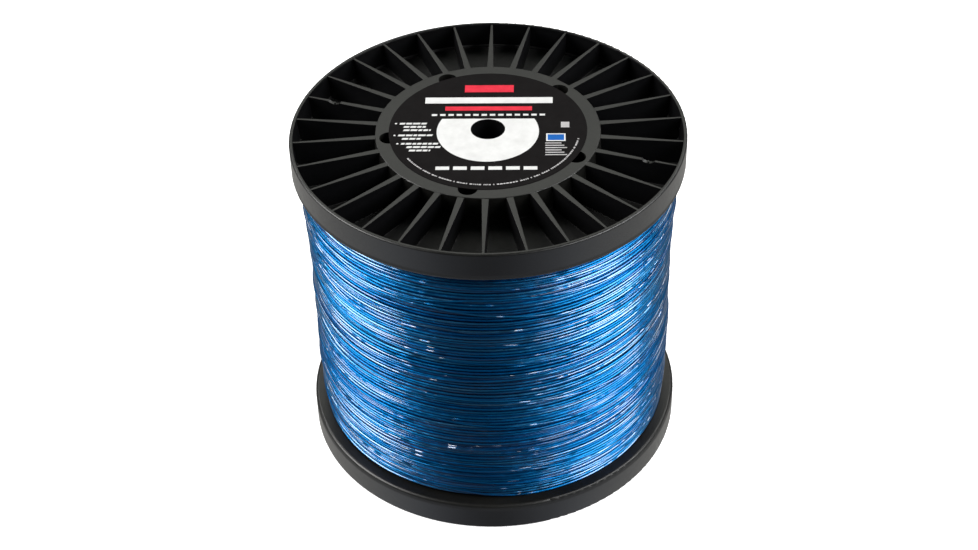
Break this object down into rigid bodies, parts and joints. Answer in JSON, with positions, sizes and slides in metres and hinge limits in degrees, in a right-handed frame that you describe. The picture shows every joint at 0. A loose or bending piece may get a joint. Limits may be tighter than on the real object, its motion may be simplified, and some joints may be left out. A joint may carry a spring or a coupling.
{
  "type": "fishing line spool",
  "caption": "Bulk spool of blue monofilament line: ribbed black flanges on a hollow barrel, a spindle bore through the axis, recessed drive holes and a round paper label.",
  "frame": {"origin": "centre of the spool's underside, in the plane of the bottom flange's lip", "axes": "+Z along the spool's axis, towards the labelled flange; +Y points at the far side, where the tape holds the line's end"},
  "size_m": [0.19, 0.19, 0.176],
  "materials": {
    "black_plastic": "satin",
    "barrel_plastic": "matt",
    "line": "clear gloss",
    "label": "coated paper",
    "tape": "clear gloss",
    "screw_steel": "zinc plated"
  },
  "bodies": {
    "root": {"bottom_flange": "black_plastic", "top_flange": "black_plastic", "barrel": "barrel_plastic", "arbor_tube": "barrel_plastic", "bottom_flange_screws": "screw_steel", "top_flange_screws": "screw_steel", "wound_line": "line", "line_end_tape": "tape", "top_label": "label"}
  },
  "joints": []
}
